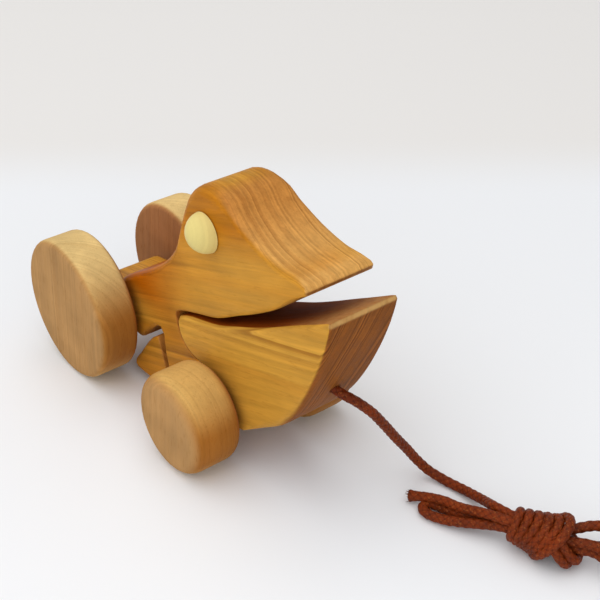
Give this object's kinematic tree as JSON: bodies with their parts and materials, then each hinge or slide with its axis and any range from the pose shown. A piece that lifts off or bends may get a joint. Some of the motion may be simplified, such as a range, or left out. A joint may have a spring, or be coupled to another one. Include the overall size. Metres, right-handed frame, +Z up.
{
  "type": "pull-along toy",
  "caption": "Sawn wooden frog on turned wheels, pulled along by a waxed cord fixed in its lower jaw, which swings on a hidden pin and shuts when the cord is lifted.",
  "frame": {"origin": "On the floor, under the middle of the frog's length and width, without its cord", "axes": "+X the way the frog rolls, +Y its left, +Z up"},
  "size_m": [0.2313, 0.0981, 0.0922],
  "materials": {
    "honey_wood": "oiled honey-coloured hardwood",
    "pale_wood": "sanded pale hardwood",
    "dowel_wood": "plain birch dowel",
    "eye_wood": "polished cream wood",
    "cord": "waxed braided cotton"
  },
  "bodies": {
    "body": {"frog_body": "honey_wood", "eye_left": "eye_wood", "eye_right": "eye_wood", "cord_hank": "cord", "cord_knot": "cord"},
    "jaw": {"lower_jaw": "honey_wood", "jaw_pin": "dowel_wood", "pull_cord": "cord"},
    "rear_wheelset": {"rear_axle": "dowel_wood", "rear_wheel_left": "pale_wood", "rear_wheel_right": "pale_wood"},
    "front_wheelset": {"front_axle": "dowel_wood", "front_wheel_left": "pale_wood", "front_wheel_right": "pale_wood"}
  },
  "joints": [
    {"name": "jaw_hinge", "type": "hinge", "parent": "body", "child": "jaw", "pos_m": [0.00755, 0, 0.0383], "axis": [0, -1, 0], "range_deg": [0, 5]},
    {"name": "rear_axle_turn", "type": "hinge", "parent": "body", "child": "rear_wheelset", "pos_m": [-0.04795, 0, 0.025], "axis": [0, 1, 0], "continuous": true},
    {"name": "front_axle_turn", "type": "hinge", "parent": "body", "child": "front_wheelset", "pos_m": [0.01825, 0, 0.0168], "axis": [0, 1, 0], "continuous": true}
  ]
}
